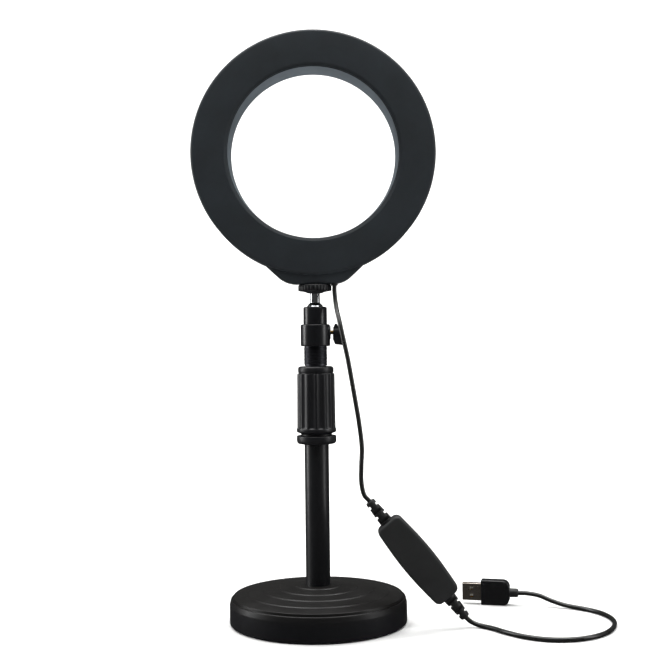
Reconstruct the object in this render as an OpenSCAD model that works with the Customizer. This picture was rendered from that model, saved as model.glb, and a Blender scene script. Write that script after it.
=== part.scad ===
/* [Ring head] */
// Outer diameter of the ring
ring_d = 160; // [158:1:162]
// Height of the ring's centre above the table
ring_z = 307; // [306.5:0.5:308]
// Depth of the ring from its back to its front
ring_t = 21; // [20:0.5:22]
// Diameter of the centre hole at the back lip
hole_back_d = 112; // [110:1:114]
// Diameter of the centre hole at the front
hole_front_d = 109; // [107:1:111]
// Thickness of the moulded shell walls
wall = 2; // [1.6:0.1:2.4]
// Number of light-emitting diodes in each of the two rows
leds_per_row = 32; // [16:8:40]

/* [Ball head] */
// Height of the ball's centre
ball_z = 204; // [203.8:0.1:204.2]
// Radius of the ball
ball_r = 6; // [5.9:0.05:6.1]
// Radius of the chrome stem
stem_r = 3.25; // [3:0.05:3.3]
// Radius of the knurled lock disc
lock_r = 11; // [10:0.5:11.5]
// Height of the clamp screw's axis
screw_z = 189.6; // [189.4:0.1:189.8]
// Pitch of the clamp screw's thread
screw_pitch = 0.8; // [0.5:0.1:1]

/* [Stand] */
// Outer diameter of the fixed pole
pole_d = 16; // [15.6:0.1:16.2]
// Wall thickness of the two tubes
tube_wall = 1; // [0.8:0.1:1.1]
// Height of the joint between the fixed pole and the twist grip
seat_z = 122; // [121:0.5:123]
// Height of the top of the twist grip
grip_top_z = 167.5; // [167:0.1:167.6]
// Number of flutes round the twist grip
flutes = 14; // [9:1:16]
// Outer diameter of the base
base_d = 116; // [112:1:120]
// Height of the base at its centre
base_h = 24.5; // [23.5:0.5:25]

/* [Controller] */
// Length of the controller's case
case_l = 62; // [60:1:64]
// Width of the case at its middle
case_w = 21.5; // [20:0.5:22]
// Depth of the case
case_t = 11; // [10.5:0.5:12]
// Length of each strain relief
relief_l = 17; // [15:1:17]
// Lean of the controller from upright
case_lean = 39; // [38:1:40]

/* [Cord and plug] */
// Diameter of the cord
cord_d = 3; // [2.8:0.1:3]
// Turn of the plug on the table, from straight back
plug_turn = 75; // [74:1:76]

/* [Hidden] */
$fn = 64;

SHELL = "#2b3036";
BLACK = "#16171b";
STEEL = "#b9bcc0";
BRASS = "#b08d4f";

gap = 0.3;
fit = 0.08;
// Space left where a cord's flat end meets its gland, relief or plug
butt = 0.03;
ring_r = ring_d / 2;
back_y = -ring_t / 2;
front_y = ring_t / 2;
shell_front_y = front_y - 3;
board_y = 1.5;
board_t = 1.6;
led_row_r = [63.5, 70.5];
led_size = [2.8, 3.5, 0.8];
board_screw_r = 67;
board_screw_at = [45, 135, 225, 315];
lug_half_y = 8.5;
lug_z = 221.4;
insert_r = 4.4;
gland_r = 2.3;
stud_r = 3.175;

pole_r = pole_d / 2;
pole_in_r = pole_r - tube_wall;
mast_r = pole_in_r - 0.4;
mast_in_r = mast_r - tube_wall;
pole_foot_z = 19.5;
pole_top_z = seat_z + 24;
mast_foot_z = 48;
sleeve_r = 9.3;
grip_r = 12.6;
skirt_r = 13;
shoulder_r = 11.7;
flute_r = 3.85;
flute_depth = 0.8;
tip_z = grip_top_z + gap;
tip_h = 19.2;
tip_r = 7.94;
thread_pitch = 0.94;
collar_z = 180.6;
collar_h = 14.4;
collar_r = 9.7;
boss_x = 10.1;
boss_r = 5;
pad_r = 2.4;
pad_l = 2.3;
screw_r = 1.5;
housing_z = collar_z + collar_h;
housing_top_z = ball_z + 2.5;
swivel_r = 3.9;
lock_h = 5.6;
lock_z = lug_z - 0.4 - lock_h;
lock_notches = 30;

base_r = base_d / 2;
base_wall = 2;
weight_top_z = 14;

case_at = [63.5, -22, 44.1];
button_r = 3.2;
buttons_at = [[0, 19], [0, 7], [0, -5], [0, -17]];
plug_at = [138, 36, 8.5];
gland_at = [12.8, -5.6, 220];

// Points of each cord's centreline, from the lamp's end
upper_route = [
  gland_at, [12.8, -5.6, 216], [13.2, -7, 210.5], [14, -10, 204.5], [15.1, -13.6, 199],
  [16.3, -16.7, 193], [17.7, -18.8, 186], [19.4, -20, 178], [21.3, -20.7, 168], [25.4, -21.5, 143],
  [27.4, -21.7, 130], [28.8, -21.8, 116], [28.3, -22, 104], [28.2, -22, 94], [29.8, -22, 85.8],
  [33.3, -22, 81.4]
];
lower_route = [
  [93.7, -22, 6.8], [96.8, -22, 4], [100.6, -22.8, 2.2], [104.6, -25.2, 1.6], [110.5, -32, 1.6],
  [117, -42, 1.6], [126.5, -52.5, 1.6], [139, -59.5, 1.6], [153, -60.5, 1.6], [166.5, -55.5, 1.6],
  [177.5, -46, 1.6], [185, -34, 1.6], [189.5, -20.5, 1.6], [190, -6.5, 1.6], [186, 6.5, 1.6],
  [178, 17, 1.6], [168, 24.5, 2.2], [159, 29, 4.6], [151.5, 32, 7.4], [143.8, 34.45, 8.5], plug_at
];

// Points along an arc about c, from angle a to angle b
function arc(c, r, a, b, n = 6) = [for (i = [0 : n]) let (t = a + (b - a) * i / n) c + r * [cos(t), sin(t)]];

function unit(v) = v / norm(v);

// The route's point i, carried on in a straight line past either end
function knot(p, i) =
  i < 0 ? 2 * p[0] - p[1] : i >= len(p) ? 2 * p[len(p) - 1] - p[len(p) - 2] : p[i];

// Point at t between b and c on the smooth curve through a, b, c and d
function between(a, b, c, d, t) =
  0.5 * (2 * b + (c - a) * t + (2 * a - 5 * b + 4 * c - d) * t * t + (3 * b - a - 3 * c + d) * t * t * t);

// A smooth curve through the route, with n steps from each point to the next
function smooth(p, n) = concat(
  [
    for (i = [0 : len(p) - 2])
      for (k = [0 : n - 1]) between(knot(p, i - 1), p[i], p[i + 1], knot(p, i + 2), k / n)
  ],
  [p[len(p) - 1]]
);

// A round tube swept along a route, with flat ends square to its first and last stretch
module tube(route, d, up, sides = 8) {
  points = smooth(route, 2);
  last = len(points) - 1;
  first_way = route[1] - route[0];
  last_way = route[len(route) - 1] - route[len(route) - 2];
  function way(i) = i == 0 ? first_way : i == last ? last_way : points[i + 1] - points[i - 1];
  rings = [
    for (i = [0 : last])
      let (ahead = unit(way(i)))
      let (side = unit(cross(ahead, up)))
      let (rise = cross(side, ahead))
      for (k = [0 : sides - 1]) points[i] + d / 2 * (cos(360 * k / sides) * side + sin(360 * k / sides) * rise)
  ];
  walls = [
    for (i = [0 : last - 1])
      for (k = [0 : sides - 1])
        let (a = i * sides + k)
        let (b = i * sides + (k + 1) % sides)
        [a, b, b + sides, a + sides]
  ];
  foot = [for (k = [sides - 1 : -1 : 0]) k];
  head = [for (k = [0 : sides - 1]) last * sides + k];
  polyhedron(rings, concat(walls, [foot, head]), convexity = 10);
}

// A hollow cylinder standing at z
module pipe(z, h, r_out, r_in) {
  translate([0, 0, z]) difference() {
    cylinder(h = h, r = r_out);
    translate([0, 0, -1]) cylinder(h = h + 2, r = r_in);
  }
}

// Places children with the ring's centre as origin and its front as +Z
module on_ring() {
  translate([0, 0, ring_z]) rotate([-90, 0, 0]) children();
}

// The tapered centre hole, made larger by grow
module hole_cone(grow = 0) {
  slope = (hole_back_d - hole_front_d) / 2 / ring_t;
  over = 2;
  translate([0, 0, back_y - over])
    cylinder(
      h = ring_t + 2 * over,
      r1 = hole_back_d / 2 + slope * over + grow,
      r2 = hole_front_d / 2 - slope * over + grow,
      $fn = 96
    );
}

// A round slab between two depths, with its edge at the back rounded by r
module rounded_disc(y0, y1, r_out, r) {
  rotate_extrude($fn = 96)
    polygon(concat([[0, y0]], arc([r_out - r, y0 + r], r, -90, 0, 7), [[r_out, y1], [0, y1]]));
}

/* ---------- base ---------- */
// Radius and drop of each terrace of the dome, from the middle out
terraces = [[15, 0], [25.5, 1.4], [36, 2.7], [46, 4.5]];

dome = [for (t = terraces, k = [0, 1]) [t[0] + 0.8 * k, base_h - t[1] - 0.5 * k]];

// The groove and the bead round the dome's rim, as distances in from the base's edge and down from its top
rim = [[2.4, 6.4], [2.2, 7.9], [1.9, 8.4], [1.6, 8], [0.9, 8.2], [0.4, 9.2], [0.1, 11], [0, 12.5]];

module base_cover() color("#1d1c1f") rotate_extrude($fn = 96) polygon(concat(
  [[pole_r + 0.1, base_h]],
  dome,
  [for (p = rim) [base_r - p[0], base_h - p[1]]],
  [[base_r, 1.2], [base_r - 0.6, 0.5], [base_r - base_wall, 0.5]],
  [[base_r - base_wall, weight_top_z + 0.4], [pole_r + 6, base_h - 2.2], [pole_r + 0.1, base_h - 2.2]]
));

module base_weight() color("#4a4a4c") difference() {
  union() {
    translate([0, 0, 2]) cylinder(h = weight_top_z - 2, r = base_r - base_wall - 0.2, $fn = 96);
    translate([0, 0, weight_top_z]) cylinder(h = pole_foot_z - weight_top_z, r = 12);
  }
  translate([0, 0, 1]) cylinder(h = 7.6, r = 9);
  cylinder(h = 30, r = 3.3);
}

module base_pad() color("#222222") cylinder(h = 2, r = base_r - 3.5, $fn = 96);

module base_bolt() color(STEEL) {
  translate([0, 0, 3.4]) cylinder(h = 4, r = 5.5, $fn = 6);
  translate([0, 0, 7.4]) cylinder(h = 32, r = 3);
}

module base_washer() color(STEEL) pipe(7.4, 1.2, 8, 3.2);

module pole_plug() color(STEEL) pipe(pole_foot_z, 25, pole_in_r - 0.05, 3.05);

module lower_tube() color(BLACK) pipe(pole_foot_z, pole_top_z - pole_foot_z, pole_r, pole_in_r);

/* ---------- twist clutch ---------- */
module clutch_seat() color(BLACK) rotate_extrude() polygon(concat(
  [[pole_r + 0.05, seat_z - 5.3], [skirt_r - 2, seat_z - 5.3]],
  arc([skirt_r - 2, seat_z - 3.3], 2, -90, 0, 4),
  [[skirt_r, seat_z], [sleeve_r, seat_z], [sleeve_r, pole_top_z + 0.2], [pole_r + 0.05, pole_top_z + 0.2]]
));

module collet() color("#d8d6cf") difference() {
  pipe(pole_top_z + 0.2, 12.6, 9.1, mast_r + fit);
  for (a = [0, 120, 240])
    rotate(a) translate([0, -0.75, pole_top_z + 3]) cube([12, 1.5, 12]);
}

module clutch_grip() color(BLACK) difference() {
  rotate_extrude() polygon(concat(
    [[skirt_r - 2.9, seat_z + gap], [skirt_r - 2.9, seat_z + 1.2]],
    [[skirt_r, seat_z + 2.4], [skirt_r, seat_z + 4.6]],
    [[grip_r, seat_z + 5.2], [grip_r, grip_top_z - 5.2]],
    [[shoulder_r - 0.4, grip_top_z - 4.8], [shoulder_r - 0.4, grip_top_z - 4.4]],
    [[shoulder_r, grip_top_z - 4.2]],
    arc([shoulder_r - 1.4, grip_top_z - 1.4], 1.4, 0, 90, 4),
    [[0, grip_top_z], [0, seat_z + gap]]
  ));
  translate([0, 0, seat_z - 1]) cylinder(h = pole_top_z + 0.6 - seat_z + 1, r = sleeve_r + fit);
  translate([0, 0, pole_top_z]) cylinder(h = 13.6, r = 9.4);
  translate([0, 0, pole_top_z]) cylinder(h = 40, r = mast_r + gap);
  for (i = [0 : flutes - 1])
    rotate(360 * i / flutes) translate([grip_r + flute_r - flute_depth, 0, seat_z + 6])
      cylinder(h = grip_top_z - seat_z - 11.8, r = flute_r, $fn = 32);
}

/* ---------- sliding mast ---------- */
module upper_tube() color("#3a3b3d") pipe(mast_foot_z, tip_z + 9 - mast_foot_z, mast_r, mast_in_r);

module tube_bush() color("#d8d6cf") pipe(mast_foot_z, 8, pole_in_r - 0.05, mast_r);

module mic_thread_tip() color("#2a2a2c") {
  turns = floor(tip_h / thread_pitch) - 1;
  difference() {
    rotate_extrude() polygon(concat(
      [[0, tip_z], [tip_r - 0.6, tip_z]],
      [
        for (i = [0 : turns - 1], q = [[0.15, -0.6], [0.4, 0], [0.6, 0], [0.85, -0.6]])
          [tip_r + q[1], tip_z + (i + 0.4 + q[0]) * thread_pitch]
      ],
      [[tip_r - 0.6, tip_z + tip_h], [0, tip_z + tip_h]]
    ));
    translate([0, 0, tip_z - 1]) cylinder(h = 10, r = mast_r + 0.03);
  }
}

module clamp_collar() color(BLACK) difference() {
  union() {
    rotate_extrude() polygon([
      [0, collar_z], [collar_r - 0.6, collar_z], [collar_r, collar_z + 0.6], [collar_r, housing_z - 0.8],
      [collar_r - 0.8, housing_z], [0, housing_z]
    ]);
    translate([7, 0, screw_z]) rotate([0, 90, 0]) cylinder(h = boss_x - 7, r = boss_r);
  }
  translate([0, 0, collar_z - 1]) cylinder(h = tip_z + tip_h + 0.2 - collar_z + 1, r = tip_r + fit);
  translate([0, 0, collar_z]) cylinder(h = collar_h, r = swivel_r + fit);
  translate([0, 0, housing_z - 3]) cylinder(h = 4, r = 7.05);
  translate([0, 0, screw_z]) rotate([0, 90, 0]) {
    cylinder(h = 20, r = screw_r + fit);
    cylinder(h = 7.3, r = pad_r + fit);
  }
}

module ball_housing() color(BLACK) difference() {
  union() {
    rotate_extrude() polygon([
      [0, housing_z], [7.8, housing_z], [7.8, housing_top_z - 0.9], [6.9, housing_top_z], [0, housing_top_z]
    ]);
    translate([0, 0, housing_z - 3]) cylinder(h = 3.5, r = 7);
  }
  translate([0, 0, ball_z]) sphere(r = ball_r + 0.1);
  translate([0, 0, housing_z - 4]) cylinder(h = ball_z - housing_z + 4, r = ball_r + 0.1);
}

/* ---------- ball, screw and lock ---------- */
module swivel_seat() color("#c9c6bd") difference() {
  union() {
    translate([0, 0, tip_z + tip_h + 0.5]) cylinder(h = housing_z - tip_z - tip_h, r = swivel_r);
    translate([0, 0, housing_z - 2.6]) cylinder(h = 6.2, r = ball_r);
  }
  translate([0, 0, ball_z]) sphere(r = ball_r + 0.05);
}

module brake_pad() color(BRASS)
  translate([swivel_r + 0.1, 0, screw_z]) rotate([0, 90, 0]) cylinder(h = pad_l, r = pad_r);

module clamp_screw() color(BRASS)
  translate([swivel_r + 2.5, 0, screw_z]) rotate([0, 90, 0]) cylinder(h = 10.4, r = screw_r);

// The wing knob seen from its side, as X and height above the screw's axis
wing = [
  [12.1, 3.7], [12.4, 4.8], [12.9, 5.5], [13.6, 5.8], [14.4, 5.3], [16, 2.2], [17.8, -2], [18.6, -4.6],
  [19.4, -6.5], [18, -8.5], [16, -8.6], [12.9, -7.7], [11.5, -4.6], [11.5, -2], [12.1, 0.5]
];
wing_half_y = 3;

module clamp_knob() color(BLACK) translate([0, 0, screw_z]) difference() {
  union() {
    translate([0, wing_half_y, 0]) rotate([90, 0, 0]) linear_extrude(2 * wing_half_y) polygon(wing);
    translate([11.7, 0, 0]) rotate([0, 90, 0]) cylinder(h = 4.6, r = 3.9);
  }
  translate([10, 0, 0]) rotate([0, 90, 0]) cylinder(h = 6.9, r = screw_r + fit);
}

module ball_stem() color("#e4e6e8") {
  translate([0, 0, ball_z]) sphere(r = ball_r);
  translate([0, 0, ball_z]) cylinder(h = 11.2, r = stem_r);
  translate([0, 0, ball_z + 11]) cylinder(h = 14.5, r = stud_r);
}

module lock_disc() color(BLACK) translate([0, 0, lock_z]) difference() {
  rotate_extrude() polygon([
    [0, 0], [4.8, 0], [5.6, 0.8], [lock_r - 1, 1.6], [lock_r, 2.2], [lock_r, 4.8], [lock_r - 0.7, lock_h],
    [0, lock_h]
  ]);
  translate([0, 0, -1]) cylinder(h = lock_h + 2, r = stem_r + fit);
  for (i = [0 : lock_notches - 1])
    rotate(360 * i / lock_notches) translate([lock_r + 0.45, 0, -1])
      cylinder(h = lock_h + 2, r = 0.9, $fn = 14);
}

/* ---------- ring head ---------- */
// Outline of the lug that hangs from the ring, in X and Z
lug_outline = concat(
  [[-30, 240], [-31.5, 233]],
  arc([-11.9, lug_z + 18], 18, 227, 270, 5),
  arc([11.9, lug_z + 18], 18, 270, 313, 5),
  [[31.5, 233], [30, 240]]
);

module lug() {
  difference() {
    translate([0, lug_half_y, 0]) rotate([90, 0, 0]) linear_extrude(2 * lug_half_y) polygon(lug_outline);
    on_ring() translate([0, 0, shell_front_y]) cylinder(h = 20, r = ring_r + 0.2, $fn = 96);
    on_ring() translate([0, 0, back_y - 1]) cylinder(h = ring_t + 2, r = ring_r - wall / 2, $fn = 96);
  }
}

module back_shell() color(SHELL) {
  difference() {
    union() {
      on_ring() rounded_disc(back_y, shell_front_y, ring_r, 2);
      lug();
    }
    on_ring() difference() {
      rotate_extrude($fn = 96) polygon(concat(
        [[0, back_y + wall]],
        arc([ring_r - wall - 1, back_y + wall + 1], 1, -90, 0, 3),
        [[ring_r - wall, front_y], [0, front_y]]
      ));
      hole_cone(wall);
      for (a = board_screw_at)
        rotate(a) translate([board_screw_r, 0, back_y]) cylinder(h = board_y - back_y, r = 3);
    }
    on_ring() hole_cone();
    on_ring() for (a = board_screw_at)
      rotate(a) translate([board_screw_r, 0, board_y - 7]) cylinder(h = 8, r = 1.05);
    translate([0, 0, lug_z - 1]) cylinder(h = 12, r = insert_r + 0.02);
    translate([gland_at[0], gland_at[1], lug_z - 1]) cylinder(h = 12, r = gland_r + 0.02);
  }
  on_ring() difference() {
    hole_cone(wall);
    hole_cone();
    translate([0, 0, back_y - 10]) cylinder(h = 10 + ring_t / 2, r = ring_r);
    translate([0, 0, front_y - 1]) cylinder(h = 10, r = ring_r);
  }
}

module front_bezel() color(SHELL) on_ring() rotate_extrude($fn = 96) polygon(concat(
  [[76.1, shell_front_y - 2], [ring_r - wall - 0.05, shell_front_y - 2]],
  [[ring_r - wall - 0.05, shell_front_y], [ring_r, shell_front_y]],
  arc([ring_r - 2.4, front_y - 2.4], 2.4, 0, 90, 5),
  [[75, front_y], [75, front_y - 0.8], [76.1, front_y - 0.8]]
));

module diffuser() color("#f4f3ee") on_ring() difference() {
  rotate_extrude($fn = 96) polygon([
    [0, 6], [76, 6], [76, front_y - 0.85], [74.9, front_y - 0.85], [70, front_y - 0.1], [0, front_y - 0.1]
  ]);
  hole_cone(wall + 0.1);
  translate([0, 0, 5]) rotate_extrude($fn = 96) polygon([[60.5, 0], [74.4, 0], [74.4, 4.2], [60.5, 4.2]]);
}

module led_board() color("#e9eae6") on_ring() difference() {
  translate([0, 0, board_y]) cylinder(h = board_t, r = 75.6, $fn = 96);
  hole_cone(wall + 1.2);
  for (a = board_screw_at) rotate(a) translate([board_screw_r, 0, 0]) cylinder(h = 8, r = 1.4);
}

module leds() color("#f3e58a") on_ring()
  for (row = [0, 1], i = [0 : leds_per_row - 1])
    rotate(360 * (i + row / 2 + 0.25) / leds_per_row)
      translate([led_row_r[row] - led_size[0] / 2, -led_size[1] / 2, board_y + board_t]) cube(led_size);

module board_screws() color(STEEL) on_ring()
  for (a = board_screw_at) rotate(a) translate([board_screw_r, 0, board_y - 6.5]) {
    cylinder(h = 6.5 + board_t + 0.1, r = 1);
    translate([0, 0, 6.5 + board_t]) cylinder(h = 1.2, r = 1.9);
  }

module thread_insert() color(BRASS) pipe(lug_z + 0.1, 9.4, insert_r, stud_r + fit);

module cable_gland() color(BLACK) translate([gland_at[0], gland_at[1], 0]) {
  pipe(lug_z, 4, gland_r, 1.2);
  translate([0, 0, gland_at[2] + butt]) cylinder(h = lug_z - gland_at[2] - butt, r = gland_r);
}

module inner_lead() color(BLACK)
  tube([[12.8, -5.6, 225.4], [12.8, -5.6, 230.5], [12.8, -4.8, 235.5], [12.8, -2.5, 239]], 2.2, [0, 1, 0]);

/* ---------- in-line controller ---------- */
// Places children with the case's middle as origin, its length along Z and its back facing -Y
module on_case() {
  translate(case_at) rotate([0, -case_lean, 0]) children();
}

// The case's barrel outline, made smaller by inset
module case_outline(inset = 0) {
  side = 220;
  corner = 4;
  half_w = case_w / 2 - inset;
  half_l = case_l / 2 - inset;
  bulge = asin((half_l - corner) / side);
  x = half_w - side * (1 - cos(bulge)) - corner;
  z = half_l - corner;
  polygon(concat(
    arc([half_w - side, 0], side, -bulge, bulge, 8),
    arc([x, z], corner, 15, 90, 4),
    arc([-x, z], corner, 90, 165, 4),
    arc([side - half_w, 0], side, 180 - bulge, 180 + bulge, 8),
    arc([-x, -z], corner, 195, 270, 4),
    arc([x, -z], corner, 270, 345, 4)
  ));
}

// The case's solid between two depths
module case_slab(y0, y1, inset = 0) {
  translate([0, y1, 0]) rotate([90, 0, 0]) linear_extrude(y1 - y0) case_outline(inset);
}

case_back_y = -case_t / 2;
case_front_y = case_t / 2;

module controller_back_shell() color("#2a2b2c") on_case() difference() {
  union() {
    case_slab(case_back_y, case_back_y + 1, 0.8);
    case_slab(case_back_y + 1, 0.5);
  }
  case_slab(case_back_y + 1.6, 2, 1.6);
}

module controller_front_shell() color("#2a2b2c") on_case() difference() {
  union() {
    case_slab(0.5, case_front_y - 1);
    case_slab(case_front_y - 1, case_front_y, 0.8);
  }
  case_slab(0, case_front_y - 1.4, 1.6);
  for (p = buttons_at)
    translate([p[0], 0, p[1]]) rotate([-90, 0, 0]) cylinder(h = 10, r = button_r + 0.25);
}

module controller_board() color("#2f6b3c") on_case()
  translate([-7.5, -1, -25]) cube([15, 1, 50]);

module tact_switches() color(STEEL) on_case()
  for (p = buttons_at) translate([p[0], 0, p[1]]) {
    translate([-2.2, 0, -2.2]) cube([4.4, 1.6, 4.4]);
    translate([0, 1.5, 0]) rotate([-90, 0, 0]) cylinder(h = 0.8, r = 1.1);
  }

// One push button: a cap that stands proud and a flange that keeps it in
module button(p) color("#3a3b3d") on_case() translate([p[0], 0, p[1]]) rotate([-90, 0, 0]) {
  translate([0, 0, 2.9]) cylinder(h = 0.9, r = button_r + 0.7);
  translate([0, 0, 3.4]) cylinder(h = case_front_y - 3.4 + 0.8, r = button_r);
}

module power_button() button(buttons_at[0]);

module colour_button() button(buttons_at[1]);

module brighter_button() button(buttons_at[2]);

module dimmer_button() button(buttons_at[3]);

// A ribbed strain relief standing on the origin
module relief(l, r_foot, r_tip, ribs) {
  step = l / ribs;
  rotate_extrude($fn = 32) polygon(concat(
    [[0, 0]],
    [
      for (i = [0 : ribs - 1])
        let (r = r_foot + (r_tip - r_foot) * i / (ribs - 1))
        for (q = [[0, 0], [0.66, 0], [0.7, -0.8], [0.95, -0.8]])
          [r + q[1], (i + q[0]) * step]
    ],
    [[r_tip - 0.8, l - butt], [0, l - butt]]
  ));
}

module upper_relief() color(BLACK) on_case() translate([0, 0, case_l / 2]) relief(relief_l, 4.3, 3.1, 4);

module lower_relief() color(BLACK) on_case()
  translate([0, 0, -case_l / 2]) rotate([180, 0, 0]) relief(relief_l, 4.3, 3.1, 4);

/* ---------- plug ---------- */
usb_body = [17, 19.5, 8];
usb_metal = [12, 13, 4.5];
usb_wall = 0.4;
neck_l = 6;

// Places children with the neck's end as origin, the plug along +Y and its width along X. The plug
// lies on its narrow edge
module on_plug() {
  translate(plug_at) rotate([0, 0, plug_turn]) rotate([0, -90, 0]) children();
}

module usb_body() color("#131315") on_plug() difference() {
  translate([0, 0, -usb_body[2] / 2]) linear_extrude(usb_body[2]) polygon(concat(
    [[-usb_body[0] / 2, neck_l + usb_body[1]]],
    arc([5 - usb_body[0] / 2, neck_l + 5], 5, 180, 270, 5),
    arc([usb_body[0] / 2 - 5, neck_l + 5], 5, 270, 360, 5),
    [[usb_body[0] / 2, neck_l + usb_body[1]]]
  ));
  translate([-usb_metal[0] / 2, neck_l + usb_body[1] - 5, -usb_metal[2] / 2])
    cube([usb_metal[0], 10, usb_metal[2]]);
}

usb_mouth_y = neck_l + usb_body[1] + usb_metal[1];

module usb_shell() color(STEEL) on_plug() difference() {
  translate([-usb_metal[0] / 2, neck_l + usb_body[1] - 5, -usb_metal[2] / 2])
    cube([usb_metal[0], usb_metal[1] + 5, usb_metal[2]]);
  translate([usb_wall - usb_metal[0] / 2, neck_l + usb_body[1] - 6, usb_wall - usb_metal[2] / 2])
    cube([usb_metal[0] - 2 * usb_wall, 30, usb_metal[2] - 2 * usb_wall]);
  for (s = [-1, 1])
    translate([s * 2.6 - 1.1, usb_mouth_y - 7.6, -usb_metal[2]]) cube([2.2, 2.4, 2 * usb_metal[2]]);
}

module usb_tongue() color("#e8e6e0") on_plug()
  translate([usb_wall - usb_metal[0] / 2, neck_l + usb_body[1] - 5, usb_wall - usb_metal[2] / 2])
    cube([usb_metal[0] - 2 * usb_wall, usb_metal[1] + 4, 1.8]);

module usb_contacts() color("#c9a24a") on_plug()
  for (i = [-1.5 : 1 : 1.5])
    translate([i * 2.4 - 0.5, usb_mouth_y - 9, usb_wall - usb_metal[2] / 2 + 1.8]) cube([1, 7, 0.15]);

module plug_relief() color("#131315") on_plug()
  rotate([-90, 0, 0]) translate([0, 0, butt]) cylinder(h = neck_l - butt, r1 = 2.6, r2 = 3.1, $fn = 32);

/* ---------- free cord ---------- */
module cord_upper() color("#1a1a18") tube(upper_route, cord_d, [0, 1, 0]);

module cord_lower() color("#1a1a18") tube(lower_route, cord_d, [0, 0, 1]);

base_cover();
base_weight();
base_pad();
base_bolt();
base_washer();
pole_plug();
lower_tube();
clutch_seat();
collet();
clutch_grip();
upper_tube();
tube_bush();
mic_thread_tip();
clamp_collar();
ball_housing();
swivel_seat();
brake_pad();
clamp_screw();
clamp_knob();
ball_stem();
lock_disc();
back_shell();
front_bezel();
diffuser();
led_board();
leds();
board_screws();
thread_insert();
cable_gland();
inner_lead();
controller_back_shell();
controller_front_shell();
controller_board();
tact_switches();
power_button();
colour_button();
brighter_button();
dimmer_button();
upper_relief();
lower_relief();
usb_body();
usb_shell();
usb_tongue();
usb_contacts();
plug_relief();
cord_upper();
cord_lower();
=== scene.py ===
# %% [markdown]
# # A desk ring light
# This lesson builds the looks of a small ring light around a finished CAD frame. The frame says where
# every part is and how it moves. Here each visible part gets a mesh with soft edges and fine detail,
# and a procedural material that behaves like the real one.

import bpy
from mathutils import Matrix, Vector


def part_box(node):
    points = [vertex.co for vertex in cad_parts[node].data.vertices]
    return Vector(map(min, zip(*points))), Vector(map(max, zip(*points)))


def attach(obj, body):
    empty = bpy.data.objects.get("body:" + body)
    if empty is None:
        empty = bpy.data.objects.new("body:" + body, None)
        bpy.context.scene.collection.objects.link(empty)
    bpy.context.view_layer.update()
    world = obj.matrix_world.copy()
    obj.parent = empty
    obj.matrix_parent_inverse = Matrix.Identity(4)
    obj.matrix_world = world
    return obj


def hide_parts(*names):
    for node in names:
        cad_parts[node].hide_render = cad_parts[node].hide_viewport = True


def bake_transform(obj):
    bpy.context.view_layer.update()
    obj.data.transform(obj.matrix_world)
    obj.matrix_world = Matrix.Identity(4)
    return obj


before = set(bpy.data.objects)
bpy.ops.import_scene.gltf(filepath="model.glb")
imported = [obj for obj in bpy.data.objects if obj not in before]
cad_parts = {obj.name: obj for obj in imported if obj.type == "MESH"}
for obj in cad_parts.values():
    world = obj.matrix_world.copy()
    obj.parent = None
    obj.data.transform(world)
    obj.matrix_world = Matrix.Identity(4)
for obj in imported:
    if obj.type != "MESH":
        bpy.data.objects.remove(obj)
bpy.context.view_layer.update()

# %% Modules and units
import math

import bmesh
import bpy
from mathutils import Matrix, Quaternion, Vector

MM = 0.001
scene = bpy.context.scene

# %% [markdown]
# ## Places from the frame
# A part is built in millimetres and lands where the CAD part is. So the driving sizes are read from the
# boxes of the CAD nodes, and only what a box can't tell, such as a hole's radius, is given as a number.

# %% Driving sizes
def box_mm(node):
    low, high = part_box(node)
    return low / MM, high / MM


bezel_low, bezel_high = box_mm("front_bezel")
RING_R = (bezel_high.x - bezel_low.x) / 2
RING_Z = (bezel_high.z + bezel_low.z) / 2
RING_BACK = box_mm("back_shell")[0].y
RING_FRONT = bezel_high.y
RING_T = RING_FRONT - RING_BACK
SHELL_FRONT = RING_FRONT - 3.0
HOLE_BACK_R = 56.0
HOLE_FRONT_R = 54.5
LUG_Z = box_mm("back_shell")[0].z
print("ring radius", round(RING_R, 2), "centre height", round(RING_Z, 2), "depth", round(RING_T, 2))

# %% [markdown]
# ## The camera
# The camera stands level with the middle of the object, so the stand's edges stay upright, and the base
# and the ring are both seen a little from their inner side. It leans by about two thirds of a degree.

# %% Camera
CAMERA_AT = Vector((0, -740, 183.3)) * MM
CAMERA_AIM = Vector((12.25, 0, 188.5)) * MM
CAMERA_ROLL = math.radians(-0.68)
camera_data = bpy.data.cameras.new("camera")
camera_data.lens = 60.66
camera_data.sensor_width = 36
camera_data.clip_end = 50
camera = bpy.data.objects.new("camera", camera_data)
scene.collection.objects.link(camera)
look = (CAMERA_AIM - CAMERA_AT).to_track_quat("-Z", "Y") @ Quaternion((0, 0, 1), CAMERA_ROLL)
camera.rotation_mode = "QUATERNION"
camera.rotation_quaternion = look
camera.location = CAMERA_AT
scene.camera = camera
print("camera", round((CAMERA_AIM - CAMERA_AT).length, 3), "m from what it looks at")

# %% [markdown]
# ## Small tools for meshes
# Most parts of a light stand are turned or moulded, so two helpers make nearly all of them: one spins an
# outline about an axis, one pulls a flat outline out to a thickness. The outlines list only the corners.
# A third number at a corner is the radius that rounds it, as a maker's drawing would give it.

# %% Move and turn a mesh
def shift(bm, x=0, y=0, z=0):
    bmesh.ops.translate(bm, verts=bm.verts, vec=(x, y, z))
    return bm


def turn(bm, degrees, axis):
    turned = Matrix.Rotation(math.radians(degrees), 3, axis)
    bmesh.ops.rotate(bm, verts=bm.verts, cent=(0, 0, 0), matrix=turned)
    return bm


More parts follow.
